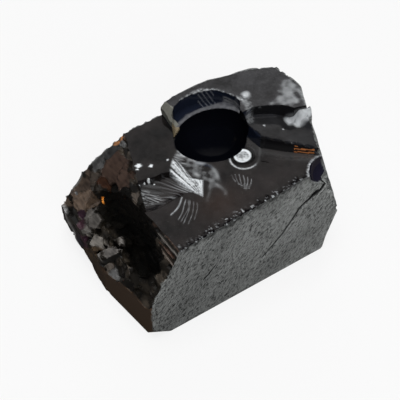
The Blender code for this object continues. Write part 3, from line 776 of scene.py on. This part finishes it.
# The matte joint faces: grey, fine-grained and only slightly uneven. The front one is seen most, and
# one long crack and one short one cross it.
joint = on_front | on_base | on_back | on_right
tone[joint] = (0.150, 0.156, 0.152)
dull[joint] = 0.8
# The front is painted lighter to the right and towards the top: painted light and shade.
tone[on_front] *= (1.02 + 0.36 * smooth(22, 58, x) + 0.14 * smooth(4, 26, z))[on_front, None]
RIPPLE_GAP = 1.5
RIM_CHIPS = 14
for hidden in HIDDEN_SCARS:
    from_scar = within_hollow(hidden) + 0.03 * waves(3.0, 33)
    in_scar = (abs(within_hollow(hidden) - 1) < 0.02) & ~joint
    tone[in_scar] = (0.075, 0.078, 0.077)
    tone[in_scar] *= (1 + 0.35 * waves(5, 36))[in_scar, None]
    dull[in_scar] = 0.66
    ring = np.linalg.norm(start - np.array(hidden[0]) - np.array((6.0, 2.0, 6.0)), axis=1)
    ripple = 0.035 * smooth(0.0, 1.0, np.cos(ring * math.tau / RIPPLE_GAP + 0.6 * waves(4, 34)))
    frost_and_painted_highlight[in_scar] += (ripple * smooth(-0.5, 0.6, waves(4, 37)))[in_scar]
    rim = (joint & (from_scar < 1.25)) * smooth(1.16, 1.0, from_scar)
    tone *= (1 - 0.35 * rim)[:, None]
    x -= 0.6 * rim * facing[:, 0]
    y -= 0.6 * rim * facing[:, 1]
    z += np.where(on_base, 0, -0.6 * rim * facing[:, 2])
    draw = random.Random(60)
    edge = np.flatnonzero(joint & ~on_base & (abs(from_scar - 1.03) < 0.05))
    for scallop in range(RIM_CHIPS):
        spot = edge[draw.randrange(len(edge))]
        tilt = np.array([draw.uniform(-0.25, 0.25) for axis in range(3)])
        chip(start[spot], facing[spot] + tilt, draw.uniform(1.2, 3.2), draw.uniform(0.2, 0.7))
under_edge = table_z(x) - start[:, 2] + 0.7 * waves(1.2, 35)
tone[on_front] *= (1 - 0.75 * smooth(1.5, 0.5, under_edge))[on_front, None]
chosen = np.flatnonzero(joint & ~on_base)
uneven = 0.16 * waves(8, 31, chosen) + 0.08 * waves(2.4, 32, chosen)
x[chosen] += uneven * facing[chosen, 0]
y[chosen] += uneven * facing[chosen, 1]
z[chosen] += uneven * facing[chosen, 2]

for route, width, depth in ((CRACKS[0], 0.31, 0.8), (CRACKS[1], 0.18, 0.30)):
    gap, run = follow(rounded(route), level=True)
    split_open = on_front * np.exp(-((gap / (width * (1.55 - 0.75 * run))) ** 2))
    split_open = split_open * np.minimum(1, 6 * (1 - run) + 0.3)
    y += depth * split_open
    tone *= (1 - 0.96 * smooth(0.12, 0.5, split_open))[:, None]
PIT = (53.0, 22.6)  # where a flake fell out on the long crack, in x and z
pit_x = start[:, 0] - PIT[0]
gap = np.hypot(pit_x / 1.9, (start[:, 2] - PIT[1] - 0.4 * pit_x) / 0.95)
y += on_front * 0.8 * smooth(1.0, 0.3, gap)
tone *= (1 - 0.93 * on_front * smooth(1.0, 0.6, gap))[:, None]


# The foot of the stone. The base is worn round at its edge, as a piece that is set down often gets,
# and the left end leans in under its far half.
LEAN_IN = 0.33
WEAR = 0.004
WORN_BELOW = 0.9
BASE_MIDDLE = (29, 24)
x += LEAN_IN * np.maximum(0, 5 - z) * smooth(27, 37, y) * smooth(6, -3, x)
worn = WEAR * np.maximum(0, 1 - z / WORN_BELOW) ** 2
x -= (x - BASE_MIDDLE[0]) * worn
y -= (y - BASE_MIDDLE[1]) * worn

stone.data.vertices.foreach_set("co", (np.stack([x, y, z], 1) / 1000 + np.array(corner)).ravel())
stone.data.update()
for name, values in (("dull", dull), ("frost_and_painted_highlight", np.clip(frost_and_painted_highlight, 0, 1)), ("sheen", sheen)):
    stone.data.attributes.new(name, "FLOAT", "POINT").data.foreach_set("value", values)
paint = stone.data.attributes.new("tone", "FLOAT_COLOR", "POINT")
paint.data.foreach_set("color", np.concatenate([tone, np.ones((len(x), 1))], 1).ravel())


# The finish. Carbon glass, black all through, with the colour and dullness that each face was given
# and a pale mix, frosted where the break is splintered too fine to see and elsewhere a painted highlight.
finish = bpy.data.materials.new("shungite")
finish.use_nodes = True
nodes, links = finish.node_tree.nodes, finish.node_tree.links
glass = nodes["Principled BSDF"]
glass.inputs["IOR"].default_value = 1.9


def reading(name):
    node = nodes.new("ShaderNodeAttribute")
    node.attribute_name = name
    return node


object_place = nodes.new("ShaderNodeTexCoord")
lay = nodes.new("ShaderNodeMapping")
lay.vector_type = "TEXTURE"
lay.inputs["Rotation"].default_value = (0, math.radians(-44), 0)
lay.inputs["Scale"].default_value = (3.6, 1.0, 1.0)
links.new(object_place.outputs["Object"], lay.inputs["Vector"])


def noise_of(size, detail, roughness):
    """Noise whose spots are about size millimetres across, drawn out along the lie of the grain."""
    node = nodes.new("ShaderNodeTexNoise")
    node.inputs["Scale"].default_value = 1000 / size
    node.inputs["Detail"].default_value = detail
    node.inputs["Roughness"].default_value = roughness
    links.new(lay.outputs["Vector"], node.inputs["Vector"])
    return node.outputs["Fac"]


def ranged(value, low, high, to_low, to_high):
    node = nodes.new("ShaderNodeMapRange")
    for socket, number in zip(("From Min", "From Max", "To Min", "To Max"), (low, high, to_low, to_high)):
        node.inputs[socket].default_value = number
    links.new(value, node.inputs["Value"])
    return node.outputs["Result"]


def times(first, second):
    node = nodes.new("ShaderNodeMath")
    node.operation = "MULTIPLY"
    links.new(first, node.inputs[0])
    links.new(second, node.inputs[1])
    return node.outputs["Value"]


flecks = ranged(noise_of(0.36, 4, 0.85), 0.40, 0.52, 0.02, 1.10)
clouds = ranged(noise_of(9.0, 3, 0.55), 0.30, 0.70, 0.75, 1.22)
matte = ranged(reading("dull").outputs["Fac"], 0.55, 0.78, 0.0, 1.0)
shade = nodes.new("ShaderNodeMix")
links.new(matte, shade.inputs["Factor"])
shade.inputs["A"].default_value = 1.0
links.new(times(flecks, clouds), shade.inputs["B"])
shaded = nodes.new("ShaderNodeVectorMath")
shaded.operation = "SCALE"
links.new(reading("tone").outputs["Color"], shaded.inputs[0])
links.new(shade.outputs["Result"], shaded.inputs["Scale"])
frost_and_highlight_mix = nodes.new("ShaderNodeMix")
frost_and_highlight_mix.data_type = "RGBA"
links.new(reading("frost_and_painted_highlight").outputs["Fac"], frost_and_highlight_mix.inputs["Factor"])
links.new(shaded.outputs["Vector"], frost_and_highlight_mix.inputs["A"])
frost_and_highlight_mix.inputs["B"].default_value = (0.62, 0.65, 0.67, 1)
links.new(frost_and_highlight_mix.outputs["Result"], glass.inputs["Base Color"])
rough_mix = nodes.new("ShaderNodeMix")
links.new(reading("frost_and_painted_highlight").outputs["Fac"], rough_mix.inputs["Factor"])
links.new(reading("dull").outputs["Fac"], rough_mix.inputs["A"])
rough_mix.inputs["B"].default_value = 0.45
links.new(rough_mix.outputs["Result"], glass.inputs["Roughness"])
pits = nodes.new("ShaderNodeBump")
pits.inputs["Distance"].default_value = 0.0003
links.new(matte, pits.inputs["Strength"])
links.new(noise_of(0.7, 4, 0.7), pits.inputs["Height"])
links.new(pits.outputs["Normal"], glass.inputs["Normal"])
links.new(reading("sheen").outputs["Fac"], glass.inputs["Specular IOR Level"])
stone.data.materials.clear()
stone.data.materials.append(finish)

# The smooth breaks are shaded smooth. The splinters of the rough end keep their flat faces.
bpy.ops.object.select_all(action="DESELECT")
stone.select_set(True)
bpy.context.view_layer.objects.active = stone
bpy.ops.object.shade_smooth_by_angle(angle=math.radians(32))
corners = np.empty(len(stone.data.loops), int)
stone.data.loops.foreach_get("vertex_index", corners)
first = np.empty(len(stone.data.polygons), int)
stone.data.polygons.foreach_get("loop_start", first)
torn = np.minimum.reduceat(rough[corners], first)
soft = np.empty(len(first), bool)
stone.data.polygons.foreach_get("use_smooth", soft)
stone.data.polygons.foreach_set("use_smooth", soft & ~torn)
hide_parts("stone")
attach(stone, "root")


# The studio: a pale floor, a camera that looks down on the front left corner, and soft lights. The
# camera alone sees the floor and the sky pale. To the stone they are much darker, so its glass stays
# black.
VIEW_TURN = math.radians(-33.16)
VIEW_DROP = math.radians(50.0)
VIEW_DISTANCE = 0.262
VIEW_MIDDLE = (28.42, 22.43, 17.0)
to_camera = Vector((
    math.sin(VIEW_TURN) * math.cos(VIEW_DROP),
    -math.cos(VIEW_TURN) * math.cos(VIEW_DROP),
    math.sin(VIEW_DROP),
))
camera = bpy.data.objects.new("camera", bpy.data.cameras.new("camera"))
bpy.context.scene.collection.objects.link(camera)
camera.data.lens = 85
camera.data.sensor_width = 36
camera.data.clip_start = 0.01
camera.location = mm(*VIEW_MIDDLE) + to_camera * VIEW_DISTANCE
camera.rotation_euler = to_camera.to_track_quat("Z", "Y").to_euler()
bpy.context.scene.camera = camera

bpy.ops.object.select_all(action="DESELECT")
bpy.ops.mesh.primitive_plane_add(size=4)
floor = bpy.context.object
floor.name = "floor"
paper = bpy.data.materials.new("pale paper")
paper.use_nodes = True
nodes, links = paper.node_tree.nodes, paper.node_tree.links
nodes["Principled BSDF"].inputs["Base Color"].default_value = (0.9, 0.9, 0.9, 1)
nodes["Principled BSDF"].inputs["Roughness"].default_value = 0.9
glow = nodes.new("ShaderNodeEmission")
glow.inputs["Color"].default_value = (0.92, 0.92, 0.92, 1)
seen = nodes.new("ShaderNodeLightPath")
unseen = nodes.new("ShaderNodeBsdfDiffuse")
unseen.inputs["Color"].default_value = (0.05, 0.045, 0.04, 1)
shown = nodes.new("ShaderNodeMixShader")
shown.inputs[0].default_value = 0.9
blend = nodes.new("ShaderNodeMixShader")
links.new(nodes["Principled BSDF"].outputs[0], shown.inputs[1])
links.new(glow.outputs[0], shown.inputs[2])
links.new(seen.outputs["Is Camera Ray"], blend.inputs[0])
links.new(unseen.outputs[0], blend.inputs[1])
links.new(shown.outputs[0], blend.inputs[2])
links.new(blend.outputs[0], nodes["Material Output"].inputs["Surface"])
floor.data.materials.append(paper)

world = bpy.data.worlds.new("studio")
bpy.context.scene.world = world
world.use_nodes = True
nodes, links = world.node_tree.nodes, world.node_tree.links
nodes.clear()
way = nodes.new("ShaderNodeTexCoord")
toward = nodes.new("ShaderNodeVectorMath")
toward.operation = "DOT_PRODUCT"
toward.inputs[1].default_value = Vector((0.25, 0.58, 0.78)).normalized()
links.new(way.outputs["Generated"], toward.inputs[0])
sky = nodes.new("ShaderNodeValToRGB")
sky.color_ramp.elements[0].position = 0.62
sky.color_ramp.elements[0].color = (0.012, 0.015, 0.024, 1)
sky.color_ramp.elements[1].position = 0.96
sky.color_ramp.elements[1].color = (0.235, 0.23, 0.23, 1)
links.new(toward.outputs["Value"], sky.inputs[0])
dim = nodes.new("ShaderNodeBackground")
links.new(sky.outputs[0], dim.inputs["Color"])
pale = nodes.new("ShaderNodeBackground")
pale.inputs["Color"].default_value = (0.92, 0.92, 0.92, 1)
seen = nodes.new("ShaderNodeLightPath")
blend = nodes.new("ShaderNodeMixShader")
links.new(seen.outputs["Is Camera Ray"], blend.inputs[0])
links.new(dim.outputs[0], blend.inputs[1])
links.new(pale.outputs[0], blend.inputs[2])
out = nodes.new("ShaderNodeOutputWorld")
links.new(blend.outputs[0], out.inputs["Surface"])


def lamp(name, way, distance, size, power):
    """A soft light that stands off the stone in the given way. The glass doesn't mirror it."""
    data = bpy.data.lights.new(name, "AREA")
    data.shape = "RECTANGLE"
    data.size, data.size_y = size
    data.energy = power
    made = bpy.data.objects.new(name, data)
    bpy.context.scene.collection.objects.link(made)
    made.location = mm(30, 24, 20) + Vector(way).normalized() * distance
    made.rotation_euler = Vector(way).to_track_quat("Z", "Y").to_euler()
    made.visible_glossy = False


lamp("window", (0.62, 0.54, 0.57), 0.7, (0.20, 0.14), 0.3)
lamp("front fill", (-0.3, -0.9, 0.5), 0.7, (0.5, 0.5), 4.0)
lamp("back fill", (0.5, 0.9, 0.35), 0.7, (0.5, 0.5), 2.0)
lamp("top fill", (0.0, 0.1, 1.0), 0.8, (0.6, 0.6), 7.0)

bpy.context.scene.view_settings.view_transform = "Standard"
